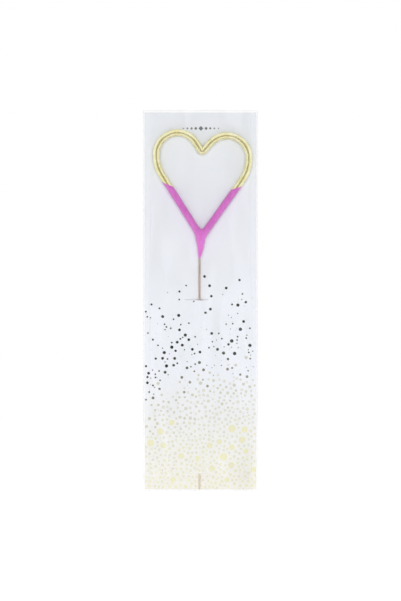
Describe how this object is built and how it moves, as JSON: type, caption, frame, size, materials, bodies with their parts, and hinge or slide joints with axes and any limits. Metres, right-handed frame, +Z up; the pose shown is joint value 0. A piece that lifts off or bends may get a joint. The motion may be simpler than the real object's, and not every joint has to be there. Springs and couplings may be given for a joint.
{
  "type": "heart sparkler on card",
  "caption": "Heart-shaped hand sparkler on a bent wire stem, threaded through a slotted card in a clear film sleeve.",
  "frame": {"origin": "centre of the wire's cut lower end, level with the card's bottom edge", "axes": "+Z up along the wire, +X across the card to the right as seen from the front, -Y out of the card's printed front"},
  "size_m": [0.0976, 0.0081, 0.323],
  "materials": {
    "coppered_wire": "drawn steel wire with a thin dull copper coat",
    "grey_compound": "matt grey, slightly grainy",
    "gold_paint": "pale metallic gold paint, satin, with a fine grain",
    "pink_lacquer": "orchid pink dip, satin",
    "card": "smooth white card, cool grey at the top and warm at the bottom, printed with confetti dots",
    "clear_film": "thin clear glossy film"
  },
  "bodies": {
    "sleeve": {"sleeve_front": "clear_film", "sleeve_back": "clear_film"},
    "card": {"card": "card"},
    "sparkler": {"wire": "coppered_wire", "compound": "grey_compound", "gold_coat": "gold_paint", "pink_coat": "pink_lacquer"}
  },
  "joints": [
    {"name": "card_slide", "type": "slide", "parent": "sleeve", "child": "card", "axis": [0, 0, 1], "range_m": [0, 0.32]},
    {"name": "wire_slide", "type": "slide", "parent": "card", "child": "sparkler", "axis": [0, 0, 1], "range_m": [0, 0.158]}
  ]
}
